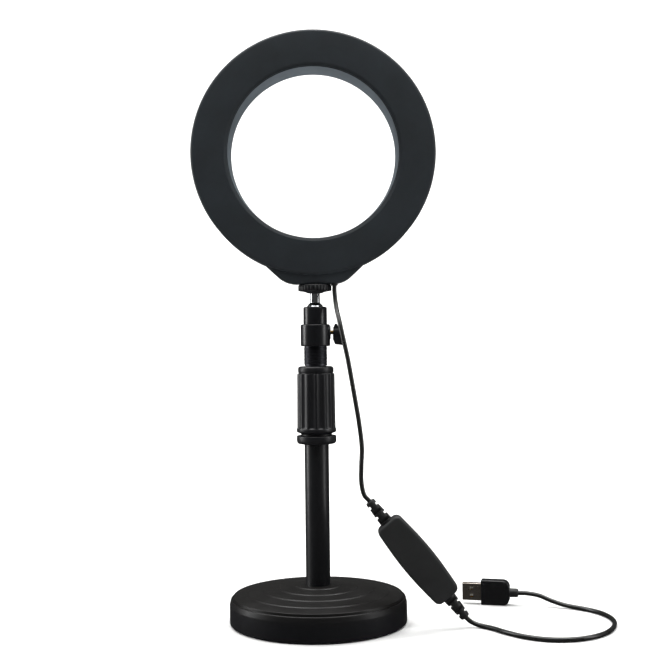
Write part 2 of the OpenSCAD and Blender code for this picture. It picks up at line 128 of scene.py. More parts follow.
# %% Outlines with rounded corners
def rounded(corners, steps=5, closed=True):
    """Replaces each corner (x, y, radius) by a short arc, and keeps plain (x, y) corners sharp."""
    points = []
    count = len(corners)
    for i, corner in enumerate(corners):
        here = Vector(corner[:2])
        radius = corner[2] if len(corner) > 2 else 0
        ends = not closed and i in (0, count - 1)
        if radius == 0 or ends:
            points.append(here)
            continue
        back = (Vector(corners[i - 1][:2]) - here).normalized()
        ahead = (Vector(corners[(i + 1) % count][:2]) - here).normalized()
        half = back.angle(ahead) / 2
        reach = radius / math.tan(half)
        middle = here + (back + ahead).normalized() * radius / math.sin(half)
        first = (here + back * reach - middle).normalized()
        last = (here + ahead * reach - middle).normalized()
        points += [middle + first.slerp(last, k / steps) * radius for k in range(steps + 1)]
    return points


# %% Spin an outline
def lathe(corners, steps=96, rounding=5, closed=True, axis="Z"):
    """A turned solid. Corners are (radius, height) in millimetres. Axis is Z, or X for sideways parts."""
    bm = bmesh.new()
    points = rounded(corners, rounding, closed)
    verts = [bm.verts.new((p.x, 0, p.y)) for p in points]
    pairs = list(zip(verts, verts[1:])) + ([(verts[-1], verts[0])] if closed else [])
    edges = [bm.edges.new(pair) for pair in pairs]
    bmesh.ops.spin(
        bm, geom=verts + edges, cent=(0, 0, 0), axis=(0, 0, 1), dvec=(0, 0, 0),
        angle=math.tau, steps=steps, use_merge=True, use_duplicate=False,
    )
    bmesh.ops.remove_doubles(bm, verts=bm.verts, dist=1e-4)
    collapsed = [f for f in bm.faces if f.calc_area() < 1e-9]
    bmesh.ops.delete(bm, geom=collapsed, context="FACES")
    if axis == "X":
        turn(bm, 90, "Y")
    bmesh.ops.recalc_face_normals(bm, faces=bm.faces)
    return bm


# %% Pull an outline out
def slab(corners, low, high, bevel=0.0, rounding=6, segments=3):
    """A flat outline in X and Y, drawn out from low to high in Z, with its rims rounded by bevel."""
    bm = bmesh.new()
    verts = [bm.verts.new((p.x, p.y, low)) for p in rounded(corners, rounding)]
    base = bm.faces.new(verts)
    top = bmesh.ops.extrude_face_region(bm, geom=[base])
    moved = [g for g in top["geom"] if isinstance(g, bmesh.types.BMVert)]
    bmesh.ops.translate(bm, verts=moved, vec=(0, 0, high - low))
    bmesh.ops.recalc_face_normals(bm, faces=bm.faces)
    if bevel:
        rims = [e for e in bm.edges if abs(e.verts[0].co.z - e.verts[1].co.z) < 1e-5]
        bmesh.ops.bevel(
            bm, geom=rims, offset=bevel, segments=segments, profile=0.5, affect="EDGES", material=-1,
            clamp_overlap=True,
        )
    return bm


# %% Join, place and finish a piece
def join(*parts):
    """One mesh out of several: each is copied into the first."""
    whole = parts[0]
    for part in parts[1:]:
        mesh = bpy.data.meshes.new("part")
        part.to_mesh(mesh)
        part.free()
        whole.from_mesh(mesh)
        bpy.data.meshes.remove(mesh)
    return whole


def shade(bm, crease=32):
    """Smooth faces, with edges kept crisp where the surface turns by more than crease degrees."""
    limit = math.radians(crease)
    for face in bm.faces:
        face.smooth = True
    for edge in bm.edges:
        edge.smooth = len(edge.link_faces) == 2 and edge.calc_face_angle(0) < limit


def piece(name, bm, material, body, nodes=(), place=Matrix(), crease=32, materials=()):
    """Turns a mesh in millimetres into an object in metres that rides on a body of the frame."""
    bmesh.ops.transform(bm, matrix=Matrix.Scale(MM, 4) @ place, verts=bm.verts)
    shade(bm, crease)
    mesh = bpy.data.meshes.new(name)
    bm.to_mesh(mesh)
    bm.free()
    for m in [material, *materials]:
        mesh.materials.append(m)
    made = bpy.data.objects.new(name, mesh)
    scene.collection.objects.link(made)
    if body:
        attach(made, body)
    if nodes:
        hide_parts(*nodes)
    print(f"{name}: {len(mesh.polygons)} faces")
    return made


def cut(target, *cutters):
    """Takes each cutter out of the target, or adds it, with an exact Boolean that is then applied.

    A cutter is a mesh and its place in millimetres, and "UNION" after them if it is to be added.
    """
    for bm, place, *union in cutters:
        bmesh.ops.transform(bm, matrix=Matrix.Scale(MM, 4) @ place, verts=bm.verts)
        mesh = bpy.data.meshes.new("cutter")
        bm.to_mesh(mesh)
        bm.free()
        tool = bpy.data.objects.new("cutter", mesh)
        scene.collection.objects.link(tool)
        boolean = target.modifiers.new("cut", "BOOLEAN")
        boolean.object = tool
        boolean.operation = union[0] if union else "DIFFERENCE"
        boolean.solver = "EXACT"
        bpy.context.view_layer.update()
        solid = bpy.data.meshes.new_from_object(target.evaluated_get(bpy.context.evaluated_depsgraph_get()))
        target.modifiers.clear()
        target.data = solid
        bpy.data.objects.remove(tool)
    bm = bmesh.new()
    bm.from_mesh(target.data)
    bmesh.ops.remove_doubles(bm, verts=bm.verts, dist=1e-6)
    shade(bm)
    bm.to_mesh(target.data)
    bm.free()
    return target


# %% [markdown]
# ## Small tools for materials
# Every colour is written as the hex value that a paint chart would give, and turned to the linear values
# that the renderer works in. One function adds a node, sets it and links it. The patterns read Object
# coordinates, which are metres here, so a grain of half a millimetre has a scale of one over 0.0005.

# %% Colour and nodes
def srgb(code):
    parts = [int(code[i : i + 2], 16) / 255 for i in (1, 3, 5)]
    linear = [c / 12.92 if c <= 0.04045 else ((c + 0.055) / 1.055) ** 2.4 for c in parts]
    return (*linear, 1.0)


def add(tree, kind, settings=None, links=None):
    """Adds one shader node, gives its values and links its inputs."""
    made = tree.nodes.new(kind)
    for key, value in (settings or {}).items():
        if key in made.inputs:
            made.inputs[key].default_value = value
        else:
            setattr(made, key, value)
    for key, source in (links or {}).items():
        tree.links.new(source, made.inputs[key])
    return made


def per_mm(size):
    """The texture scale at which one feature is about this many millimetres."""
    return 1 / (size * MM)


# %% The start of every finish
def surface(name, colour, roughness, **settings):
    """A Principled shader with even values, its node tree and its Object coordinates."""
    made = bpy.data.materials.new(name)
    made.use_nodes = True
    tree = made.node_tree
    shader = tree.nodes["Principled BSDF"]
    shader.inputs["Base Color"].default_value = srgb(colour)
    shader.inputs["Roughness"].default_value = roughness
    for key, value in settings.items():
        shader.inputs[key.replace("_", " ")].default_value = value
    made.diffuse_color = srgb(colour)
    at = add(tree, "ShaderNodeTexCoord").outputs["Object"]
    return made, tree, shader, at


# %% Surface detail that several finishes share
def noise(tree, at, size, detail=3, stretch=None):
    """A soft random pattern with features of about size millimetres. Stretch squeezes it along an axis."""
    if stretch:
        at = add(tree, "ShaderNodeMapping", {"Scale": stretch}, {"Vector": at}).outputs[0]
    settings = {"Scale": per_mm(size), "Detail": detail, "Roughness": 0.55}
    return add(tree, "ShaderNodeTexNoise", settings, {"Vector": at}).outputs["Fac"]


def spread(tree, value, low, high, start=0.3, end=0.7):
    """Maps a pattern's values to a range, such as two roughnesses."""
    settings = {"From Min": start, "From Max": end, "To Min": low, "To Max": high}
    return add(tree, "ShaderNodeMapRange", settings, {"Value": value}).outputs[0]


def blend_colours(tree, value, dark, light, start=0.3, end=0.7):
    """A colour ramp between two hex colours."""
    made = add(tree, "ShaderNodeValToRGB", links={"Fac": value})
    made.color_ramp.elements[0].position = start
    made.color_ramp.elements[0].color = srgb(dark)
    made.color_ramp.elements[1].position = end
    made.color_ramp.elements[1].color = srgb(light)
    return made.outputs["Color"]


def bump(tree, shader, height, depth, under=None):
    """Adds relief of about depth millimetres to the shader's normal, over another relief if one is given."""
    links = {"Height": height}
    if under:
        links["Normal"] = under
    made = add(tree, "ShaderNodeBump", {"Strength": 1.0, "Distance": depth * MM}, links)
    tree.links.new(made.outputs[0], shader.inputs["Normal"])
    return made.outputs[0]


# %% [markdown]
# ## Moulded plastics
# The lamp's shell is ABS from a spark-eroded mould: a fine even grain that scatters light, so edges glow
# softly and nothing mirrors. The grips and the knob are moulded from a tougher black nylon with a slight
# satin. The controller's case has the same dull grain as the lamp but no blue in its black.

# %% ABS shell
def moulded(name, dark, light, roughness, grain, depth, **settings):
    """Moulded plastic: a colour that drifts a little, and the mould's grain as relief."""
    made, tree, shader, at = surface(name, light, roughness[0], **settings)
    drift = noise(tree, at, 26, detail=2)
    tree.links.new(blend_colours(tree, drift, dark, light), shader.inputs["Base Color"])
    tree.links.new(spread(tree, noise(tree, at, 5), *roughness), shader.inputs["Roughness"])
    fine = noise(tree, at, grain, detail=2)
    bump(tree, shader, fine, depth)
    return made


# The real grain is about 0.15 mm, too fine to show, so it is drawn at 0.6 mm
shell_abs = moulded("shell_abs_eroded", "#1d2328", "#22292f", (0.5, 0.6), 0.6, 0.012, IOR=1.52)
# The inner wall is the shell's own ABS painted lighter: painted sheen standing in for the pale room that it
# reflects
inner_abs_painted_sheen = moulded("inner_wall_abs_painted_sheen", "#525a61", "#5c656c", (0.5, 0.58), 0.6, 0.010, IOR=1.52)
grip_nylon = moulded("grip_moulded_nylon", "#0f1013", "#131418", (0.36, 0.46), 0.8, 0.010, IOR=1.53)
case_abs = moulded("case_abs_matt", "#1e1f20", "#242526", (0.55, 0.64), 0.5, 0.014, IOR=1.52)
button_abs = moulded("button_abs", "#3a3c3f", "#424548", (0.42, 0.5), 0.5, 0.008, IOR=1.52)
relief_tpe = moulded("relief_soft_tpe", "#171718", "#1d1d1e", (0.44, 0.54), 0.7, 0.008, IOR=1.5)
foot_rubber = moulded("foot_rubber", "#1b1b1b", "#242424", (0.8, 0.9), 0.5, 0.03, IOR=1.52)
natural_nylon = moulded("natural_nylon", "#d2cec2", "#ddd9cf", (0.38, 0.46), 0.8, 0.006, IOR=1.53)
tongue_plastic = moulded("tongue_plastic", "#e0ded6", "#e9e7e0", (0.4, 0.48), 0.8, 0.004, IOR=1.55)

# %% [markdown]
# ## Painted metal
# The pole and the ball head are steel and alloy under black powder coat. The powder melts into a skin
# with a slight orange peel, which breaks the long highlights. The base is cast iron under a satin enamel,
# and its dome keeps faint turned rings from the lathe.

# %% Powder coat
def powder_coat(name, colour, roughness, peel=1.6, depth=0.012):
    made, tree, shader, at = surface(name, colour, roughness, IOR=1.5, Coat_Weight=0.18, Coat_Roughness=0.22)
    under = bump(tree, shader, noise(tree, at, peel, detail=1), depth)
    bump(tree, shader, noise(tree, at, 0.4, detail=2), depth / 3, under=under)
    wear = spread(tree, noise(tree, at, 9), roughness - 0.04, roughness + 0.06)
    tree.links.new(wear, shader.inputs["Roughness"])
    return made


pole_coat = powder_coat("pole_powder_coat", "#0d0e12", 0.42)
head_coat = powder_coat("ball_head_powder_coat", "#0f1014", 0.32, peel=1.2)

# %% Base enamel
RING_GAP = 1.9  # mm from one turned ring to the next


def base_enamel():
    """Satin enamel, slightly brown on the dome and cooler on the wall, with turned rings."""
    made, tree, shader, at = surface("base_satin_enamel", "#121110", 0.42, IOR=1.5, Specular_IOR_Level=0.3)
    apart = add(tree, "ShaderNodeSeparateXYZ", links={"Vector": at})
    height = spread(tree, apart.outputs["Z"], 0, 1, 0.008, 0.019)
    colour = blend_colours(tree, height, "#101014", "#131211", 0.2, 0.8)
    tree.links.new(colour, shader.inputs["Base Color"])
    flat = add(tree, "ShaderNodeMapping", {"Scale": (1, 1, 0)}, {"Vector": at}).outputs[0]
    settings = {
        "wave_type": "RINGS", "rings_direction": "SPHERICAL", "Scale": per_mm(RING_GAP) / math.tau / 2,
        "Distortion": 0.5, "Detail": 2.0, "Detail Scale": 3.0,
    }
    rings = add(tree, "ShaderNodeTexWave", settings, {"Vector": flat})
    under = bump(tree, shader, rings.outputs["Fac"], 0.006)
    bump(tree, shader, noise(tree, at, 1.4, detail=2), 0.010, under=under)
    tree.links.new(spread(tree, noise(tree, at, 14), 0.36, 0.48), shader.inputs["Roughness"])
    return made


base_paint = base_enamel()

# %% [markdown]
# ## Bare metals
# Chrome plate is nearly a mirror, with hairline wipe marks only. The turned brass of the clamp screw has
# fine rings, the thread is steel under black oxide, and the plug's shell is nickel that was brushed along
# its length. A metal's colour is its reflection, so the base colours here are bright.

# %% Metal finishes
def metal(name, colour, roughness, marks=None, size=0.5, depth=0.002):
    """Bare metal whose roughness varies along the marks left by its last tool."""
    made, tree, shader, at = surface(name, colour, roughness, Metallic=1.0)
    wiped = noise(tree, at, size, detail=4, stretch=marks)
    tree.links.new(spread(tree, wiped, roughness * 0.75, roughness * 1.35), shader.inputs["Roughness"])
    bump(tree, shader, wiped, depth)
    return made


chrome_plate = metal("chrome_plate", "#dfe1e4", 0.07, (1, 1, 0.2), 1.2, 0.0006)
turned_brass = metal("turned_brass", "#a5864f", 0.3, (4, 1, 1), 0.8)
black_oxide = metal("black_oxide_steel", "#5a5b60", 0.42, (1, 1, 5), 0.8)
zinc_plate = metal("zinc_plate", "#b9bbbd", 0.3, (1, 1, 1), 1.0)
brushed_nickel = metal("brushed_nickel", "#b3aaa0", 0.3, (1, 1, 1), 0.9, 0.003)
gold_flash = metal("gold_flash", "#cfa452", 0.25, (1, 1, 1), 1.0)
cast_iron = metal("cast_iron", "#4a4a4b", 0.6, (1, 1, 1), 2.0, 0.05)

# %% [markdown]
# ## Cord, plug, lens and boards
# The cord's jacket is soft PVC with a gloss and a faint ripple from the extruder. The plug is the same
# PVC from a polished mould. The diffuser is opal polycarbonate: light goes in, scatters and comes out
# somewhere else, which is what subsurface scattering models.

# %% Glossy PVC
def gloss_pvc(name, colour, roughness, ripple, depth):
    made, tree, shader, at = surface(name, colour, roughness, IOR=1.53, Coat_Weight=0.25, Coat_Roughness=0.12)
    bump(tree, shader, noise(tree, at, ripple, detail=2), depth)
    wear = spread(tree, noise(tree, at, 6), roughness * 0.85, roughness * 1.3)
    tree.links.new(wear, shader.inputs["Roughness"])
    return made


cord_pvc = gloss_pvc("cord_soft_pvc", "#171716", 0.3, 2.4, 0.02)
plug_pvc = gloss_pvc("plug_moulded_pvc", "#0f0f11", 0.2, 3.0, 0.006)

# %% Opal lens, boards and diodes
def opal():
    made, tree, shader, at = surface("opal_polycarbonate", "#f3f2ec", 0.42, IOR=1.58)
    shader.inputs["Subsurface Weight"].default_value = 0.35
    shader.inputs["Subsurface Radius"].default_value = (0.004, 0.004, 0.004)
    shader.inputs["Subsurface Scale"].default_value = 1.0
    bump(tree, shader, noise(tree, at, 0.7, detail=2), 0.006)
    tree.links.new(spread(tree, noise(tree, at, 8), 0.38, 0.46), shader.inputs["Roughness"])
    return made


opal_lens = opal()
white_board = moulded("white_solder_mask", "#e4e5e1", "#eeefeb", (0.3, 0.36), 1.0, 0.004, IOR=1.5)
green_board = moulded("green_solder_mask", "#1f5a33", "#276b3d", (0.3, 0.36), 1.0, 0.004, IOR=1.5)
diode_resin = moulded("diode_resin", "#e5cf62", "#efdc78", (0.18, 0.25), 1.0, 0.002, IOR=1.5)
print(len(bpy.data.materials), "materials")

# %% [markdown]
# ## The free cord
# The cord comes before the other pieces, because its length and lie have to fit the frame. It is one
# smooth curve through listed points: down from the lamp, past the clamp knob, to the
# controller, which leans with its foot on the table, and then in a loose loop to the plug. The curve is
# swept to a tube and made a mesh.

# %% Cord routes in millimetres
CORD_D = 3.0
# The upper route's last two points run on inside the strain relief and the case
UPPER_ROUTE = [
    (12.8, -5.6, 220), (12.8, -5.6, 216), (13.2, -7, 210.5), (14, -10, 204.5), (15.1, -13.6, 199),
    (16.3, -16.7, 193), (17.7, -18.8, 186), (19.4, -20, 178), (21.3, -20.7, 168), (25.4, -21.5, 143),
    (27.4, -21.7, 130), (28.8, -21.8, 116), (28.3, -22, 104), (28.2, -22, 94), (29.8, -22, 85.8),
    (33.3, -22, 81.4), (39.9, -22, 73.25), (46.5, -22, 65.1),
]
LOWER_ROUTE = [
    (93.7, -22, 6.8), (96.8, -22, 4), (100.6, -22.8, 2.2), (104.6, -25.2, 1.6), (110.5, -32, 1.6),
    (117, -42, 1.6), (126.5, -52.5, 1.6), (139, -59.5, 1.6), (153, -60.5, 1.6), (166.5, -55.5, 1.6),
    (177.5, -46, 1.6), (185, -34, 1.6), (189.5, -20.5, 1.6), (190, -6.5, 1.6), (186, 6.5, 1.6),
    (178, 17, 1.6), (168, 24.5, 2.2), (159, 29, 4.6), (151.5, 32, 7.4), (143.8, 34.45, 8.5), (138, 36, 8.5),
]


# %% A smooth curve through the points
def smooth_route(route, steps=10):
    """A curve that passes through every point of the route, in metres."""
    p = [Vector(q) * MM for q in route]
    p = [2 * p[0] - p[1], *p, 2 * p[-1] - p[-2]]
    points = []
    for a, b, c, d in zip(p, p[1:], p[2:], p[3:]):
        for k in range(steps):
            t = k / steps
            bend = (2 * a - 5 * b + 4 * c - d) * t * t + (3 * b - a - 3 * c + d) * t ** 3
            points.append(0.5 * (2 * b + (c - a) * t + bend))
    return points + [p[-2]]


def length_of(points):
    return sum((b - a).length for a, b in zip(points, points[1:]))


# %% Sweep the curve to a tube
def cord_mesh(name, points, diameter, nodes):
    """A round cord along the points, made a mesh."""
    line = bpy.data.curves.new(name, "CURVE")
    line.dimensions = "3D"
    line.bevel_depth = diameter / 2
    line.bevel_resolution = 4
    line.use_fill_caps = True
    spline = line.splines.new("POLY")
    spline.points.add(len(points) - 1)
    for point, place in zip(spline.points, points):
        point.co = (*place, 1)
    rough = bpy.data.objects.new(name + "_line", line)
    scene.collection.objects.link(rough)
    bpy.context.view_layer.update()
    mesh = bpy.data.meshes.new_from_object(rough.evaluated_get(bpy.context.evaluated_depsgraph_get()))
    bpy.data.objects.remove(rough)
    mesh.name = name
    mesh.shade_smooth()
    mesh.materials.clear()
    mesh.materials.append(cord_pvc)
    made = bpy.data.objects.new(name, mesh)
    scene.collection.objects.link(made)
    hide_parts(*nodes)
    print(f"{name}: {length_of(points) * 1000:.1f} mm long, {len(mesh.polygons)} faces")
    return made


upper_points = smooth_route(UPPER_ROUTE)
lower_points = smooth_route(LOWER_ROUTE)
upper_cord = cord_mesh("upper_cord", upper_points, CORD_D * MM, ["cord_upper"])
lower_cord = cord_mesh("lower_cord", lower_points, CORD_D * MM, ["cord_lower"])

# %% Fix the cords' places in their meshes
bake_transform(upper_cord)
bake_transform(lower_cord)

# %% [markdown]
# ## The base
# The base is one turned shape: a low wall, a rounded shoulder and a dome that falls in shallow terraces.
# Each terrace is a step of well under a millimetre, but its rounded lip catches a thin line of light, so
# the outline lists every step. A rubber disc under it keeps the table safe.

# %% Base cover
base_high = box_mm("base_cover")[1]
BASE_R = base_high.x
BASE_H = base_high.z
POLE_R = box_mm("lower_tube")[1].x
terraces = [(15, 0), (25.5, 1.4), (36, 2.7), (46, 4.5)]
dome = []
for radius, drop in terraces:
    dome += [(radius, BASE_H - drop, 0.6), (radius + 0.8, BASE_H - drop - 0.5, 0.4)]
# The groove and the bead round the dome's rim: in from the edge, down from the top, corner radius
rim = [(2.4, 6.4, 0.45), (2.2, 8.1, 0.1), (1.9, 8.4, 0.1), (1.6, 8.0, 0.15), (0.8, 8.05, 0.7), (0, 11.5, 3.0)]
base_outline = [
    (POLE_R + 0.15, BASE_H), *dome, *[(BASE_R - inward, BASE_H - drop, r) for inward, drop, r in rim],
    (BASE_R, 1.2, 0.6), (BASE_R - 0.7, 0.55, 0.3), (BASE_R - 2.4, 0.55), (BASE_R - 2.4, 3),
    (POLE_R + 0.15, 3),
]
piece("base", lathe(base_outline, 192, 4), base_paint, "stand", ["base_cover"])

# %% Rubber foot
PAD_R = box_mm("base_pad")[1].x
groove = [(PAD_R - 6, 0, 0.3), (PAD_R - 6, 0.7, 0.2), (PAD_R - 10, 0.7, 0.2), (PAD_R - 10, 0, 0.3)]
pad_outline = [(0, 2), (PAD_R, 2, 0.2), (PAD_R, 0, 0.6), *groove, (0, 0)]
piece("rubber_foot", lathe(pad_outline, 128, 3, closed=False), foot_rubber, "stand", ["base_pad"])

# %% [markdown]
# ## The pole and the twist grip
# The pole is a plain tube. The grip is moulded with flutes for the fingers, which fade out below a smooth
# shoulder. To make them, a circle with many points is drawn up level by level, and at each level the
# points move in by a share of the flute's depth that depends on the angle.

# %% Pole
tube_low, tube_high = box_mm("lower_tube")
tube_outline = [
    (POLE_R, tube_low.z), (POLE_R, tube_high.z, 0.3), (POLE_R - 1, tube_high.z, 0.3),
    (POLE_R - 1, tube_low.z),
]
piece("pole", lathe(tube_outline, 96), pole_coat, "stand", ["lower_tube"])

# %% Fluted solids
def fluted(levels, count, width, depth, bore, per_flute=16):
    """Levels are (height, radius, share of the flute's depth). The bore is (radius, height) from the top."""
    bm = bmesh.new()
    bmesh.ops.create_circle(bm, segments=count * per_flute, radius=1, cap_ends=False)
    ring = list(bm.edges)

    def shape(edges, height, radius, share):
        for v in {v for e in edges for v in e.verts}:
            angle = math.atan2(v.co.y, v.co.x)
            off = (angle * count / math.tau + 0.5) % 1 - 0.5
            reach = radius - depth * share * max(0.0, 1 - (off / (width / 2)) ** 2)
            v.co = Vector((math.cos(angle) * reach, math.sin(angle) * reach, height))

    def grow(edges):
        grown = bmesh.ops.extrude_edge_only(bm, edges=edges)["geom"]
        new = {g for g in grown if isinstance(g, bmesh.types.BMVert)}
        return [g for g in grown if isinstance(g, bmesh.types.BMEdge) and new.issuperset(g.verts)]

    shape(ring, *levels[0])
    inside = [(height, radius, 0) for radius, height in bore]
    for level in levels[1:] + inside:
        ring = grow(ring)
        shape(ring, *level)
    bmesh.ops.bridge_loops(bm, edges=[e for e in bm.edges if e.is_boundary])
    bmesh.ops.recalc_face_normals(bm, faces=bm.faces)
    return bm


# %% Twist grip
grip_low, grip_high = box_mm("clutch_grip")
FLUTES = 14
SKIRT_R = 13.0
BODY_R = 12.6
SHOULDER_R = 11.7
foot_z = grip_low.z
top_z = grip_high.z
grip_levels = [
    (foot_z, SKIRT_R - 2.9, 0), (foot_z + 0.9, SKIRT_R - 2.85, 0), (foot_z + 1.2, SKIRT_R - 2.5, 0),
    (foot_z + 2.0, SKIRT_R - 0.6, 0), (foot_z + 2.3, SKIRT_R - 0.15, 0), (foot_z + 2.7, SKIRT_R, 0),
    (foot_z + 3.9, SKIRT_R, 0), (foot_z + 4.3, SKIRT_R - 0.06, 0), (foot_z + 4.6, BODY_R + 0.2, 0.1),
    (foot_z + 4.9, BODY_R + 0.15, 0.5), (foot_z + 5.4, BODY_R + 0.15, 0.85), (foot_z + 6.2, BODY_R + 0.15, 1),
    (foot_z + 20, BODY_R + 0.05, 1), (top_z - 18, BODY_R - 0.05, 1), (top_z - 5.5, BODY_R - 0.12, 1),
    (top_z - 5.0, BODY_R - 0.2, 1), (top_z - 4.75, BODY_R - 0.5, 0.7), (top_z - 4.62, SHOULDER_R - 0.35, 0),
    (top_z - 4.4, SHOULDER_R - 0.4, 0), (top_z - 4.2, SHOULDER_R - 0.35, 0),
    (top_z - 4.08, SHOULDER_R - 0.1, 0), (top_z - 3.8, SHOULDER_R, 0), (top_z - 1.5, SHOULDER_R, 0),
    (top_z - 0.9, SHOULDER_R - 0.15, 0), (top_z - 0.4, SHOULDER_R - 0.55, 0),
    (top_z - 0.1, SHOULDER_R - 1.1, 0), (top_z, SHOULDER_R - 1.7, 0),
]
grip_bore = [(6.95, top_z), (6.95, top_z - 7.8), (9.42, top_z - 7.8), (9.42, foot_z)]
grip_mesh = fluted(grip_levels, FLUTES, 0.8, 0.8, grip_bore, 20)
piece("twist_grip", grip_mesh, grip_nylon, "clutch", ["clutch_grip"], crease=40)

# %% Threaded seat below the grip
seat_low, seat_high = box_mm("clutch_seat")
seat_top = foot_z - 0.3
seat_outline = [
    (POLE_R + 0.05, seat_low.z, 0.3), (SKIRT_R, seat_low.z, 2.0), (SKIRT_R, seat_top, 0.4),
    (9.3, seat_top, 0.2), (9.3, seat_high.z), (POLE_R + 0.05, seat_high.z),
]
piece("threaded_seat", lathe(seat_outline), grip_nylon, "stand", ["clutch_seat"])

# %% [markdown]
# ## The mast
# The mast slides inside the pole and ends in a real thread. A thread is a spin that also climbs: the
# outline of one pitch is swept round while it rises by one pitch a turn. Thin rings would look similar,
# but a helix gives the right slant to every line of light.

# %% Helical thread
def thread(radius, depth, pitch, turns, start, steps=48):
    """A screw thread's outside, from start upwards, with plain ends closed to the root."""
    bm = bmesh.new()
    root = radius - depth
    outline = [(root, 0), (radius, 0.36), (radius, 0.5), (root, 0.86), (root, 1)]
    verts = [bm.verts.new((r, 0, start + z * pitch)) for r, z in outline]
    edges = [bm.edges.new(pair) for pair in zip(verts, verts[1:])]
    bmesh.ops.spin(
        bm, geom=verts + edges, cent=(0, 0, 0), axis=(0, 0, 1), dvec=(0, 0, pitch / steps),
        angle=math.tau * turns, steps=steps * turns, use_merge=False, use_duplicate=False,
    )
    bmesh.ops.remove_doubles(bm, verts=bm.verts, dist=1e-3)
    bmesh.ops.recalc_face_normals(bm, faces=bm.faces)
    return bm


tip_low, tip_high = box_mm("mic_thread_tip")
TIP_R = 7.94
TIP_BORE = 6.65
TIP_ROOT = TIP_R - 0.62
PITCH = 0.94
tip_outline = [
    (TIP_BORE, tip_low.z), (TIP_ROOT, tip_low.z, 0.15), (TIP_ROOT, tip_high.z, 0.3), (TIP_BORE, tip_high.z)
]
tip_thread = thread(TIP_R, TIP_R - TIP_ROOT, PITCH, 12, tip_low.z + 0.5)
tip_mesh = join(lathe(tip_outline, 64), tip_thread)
piece("thread_tip", tip_mesh, black_oxide, "mast", ["mic_thread_tip"], crease=50)

# %% Inner tube
mast_low, mast_high = box_mm("upper_tube")
MAST_R = mast_high.x
mast_outline = [
    (MAST_R, mast_low.z, 0.2), (MAST_R, mast_high.z), (MAST_R - 1, mast_high.z),
    (MAST_R - 1, mast_low.z, 0.2),
]
piece("inner_tube", lathe(mast_outline, 96), pole_coat, "mast", ["upper_tube"])

# %% [markdown]
# ## The ball head
# A collar screws onto the thread and carries the clamp screw in a round boss. One bore runs through the
# boss for the screw and widens in the collar for the brake pad. Above it a sleeve holds the ball in a
# socket with a slightly closed lip. The ball, its stem and the camera stud are one chromed piece.

# %% Clamp collar
collar_low, collar_high = box_mm("clamp_collar")
COLLAR_R = 9.7
SCREW_Z = (box_mm("clamp_screw")[0].z + box_mm("clamp_screw")[1].z) / 2
PAD_BORE = 2.48
SCREW_BORE = 1.58
collar_outline = [
    (8.05, collar_low.z, 0.3), (COLLAR_R, collar_low.z, 0.9), (COLLAR_R, collar_high.z, 0.9),
    (7.05, collar_high.z), (7.05, collar_high.z - 3), (4, collar_high.z - 3), (4, collar_high.z - 8),
    (8.05, collar_high.z - 8),
]
boss_outline = [
    (0, 7), (5.2, 7), (5.2, 9.5, 0.4), (4.3, 9.7, 0.2), (4.3, 10.1, 0.3), (2.2, 10.1, 0.2), (1.6, 9.6),
    (0, 9.6),
]
bore_outline = [(0, 3), (PAD_BORE, 3), (PAD_BORE, 7.3), (SCREW_BORE, 7.3), (SCREW_BORE, 12), (0, 12)]
collar_mesh = lathe(collar_outline, 96)
collar = piece("clamp_collar_body", collar_mesh, head_coat, "mast", ["clamp_collar"])
beside = Matrix.Translation((0, 0, SCREW_Z))
boss = lathe(boss_outline, 48, 4, closed=False, axis="X")
cut(collar, (boss, beside, "UNION"), (lathe(bore_outline, 48, closed=False, axis="X"), beside))

# %% Ball sleeve
sleeve_high = box_mm("ball_housing")[1]
BALL_Z = sleeve_high.z - 2.5
BALL_R = 6.0
SOCKET_R = BALL_R + 0.1
sleeve_foot = collar_high.z


def on_ball(radius, degrees):
    """A point of an outline that lies on a circle round the ball's centre."""
    return radius * math.cos(math.radians(degrees)), BALL_Z + radius * math.sin(math.radians(degrees))


sleeve_outline = [
    (SOCKET_R, sleeve_foot - 3), (7, sleeve_foot - 3), (7, sleeve_foot - 0.05),
    (7.8, sleeve_foot - 0.05, 0.2), (7.75, sleeve_high.z, 0.9), (5.95, sleeve_high.z, 0.2),
    *[on_ball(SOCKET_R, degrees) for degrees in (20, 14, 7, 0)],
]
piece("ball_sleeve", lathe(sleeve_outline, 96), head_coat, "mast", ["ball_housing"])

# %% Ball, stem and stud
stud_top = box_mm("ball_stem")[1].z
STEM_R = 3.25
STUD_R = 3.15
stem_outline = [
    *[on_ball(BALL_R, degrees) for degrees in range(-90, 55, 8)],
    (STEM_R, BALL_Z + 5.15, 0.4), (STEM_R, BALL_Z + 11.1, 0.3), (STUD_R, BALL_Z + 11.3),
    (STUD_R, stud_top, 0.4), (0, stud_top),
]
piece("ball_and_stem", lathe(stem_outline, 96, closed=False), chrome_plate, "head", ["ball_stem"])

# %% Knurled lock disc
LOCK_R = 11.0
lock_low, lock_high = box_mm("lock_disc")
LOCK_BORE = 3.33
lock_levels = [
    (lock_low.z, 4.8, 0), (lock_low.z + 0.2, 5.2, 0), (lock_low.z + 0.6, 5.9, 0),
    (lock_low.z + 1.1, 8, 0), (lock_low.z + 1.35, LOCK_R - 1, 0), (lock_low.z + 1.5, LOCK_R - 0.4, 0.5),
    (lock_low.z + 1.8, LOCK_R, 1), (lock_high.z - 0.7, LOCK_R, 1), (lock_high.z - 0.3, LOCK_R - 0.3, 0.6),
    (lock_high.z, LOCK_R - 0.8, 0),
]
lock_bore = [(LOCK_BORE, lock_high.z), (LOCK_BORE, lock_low.z)]
lock_mesh = fluted(lock_levels, 30, 0.75, 0.5, lock_bore, 8)
piece("lock_nut", lock_mesh, grip_nylon, "lock", ["lock_disc"], crease=45)

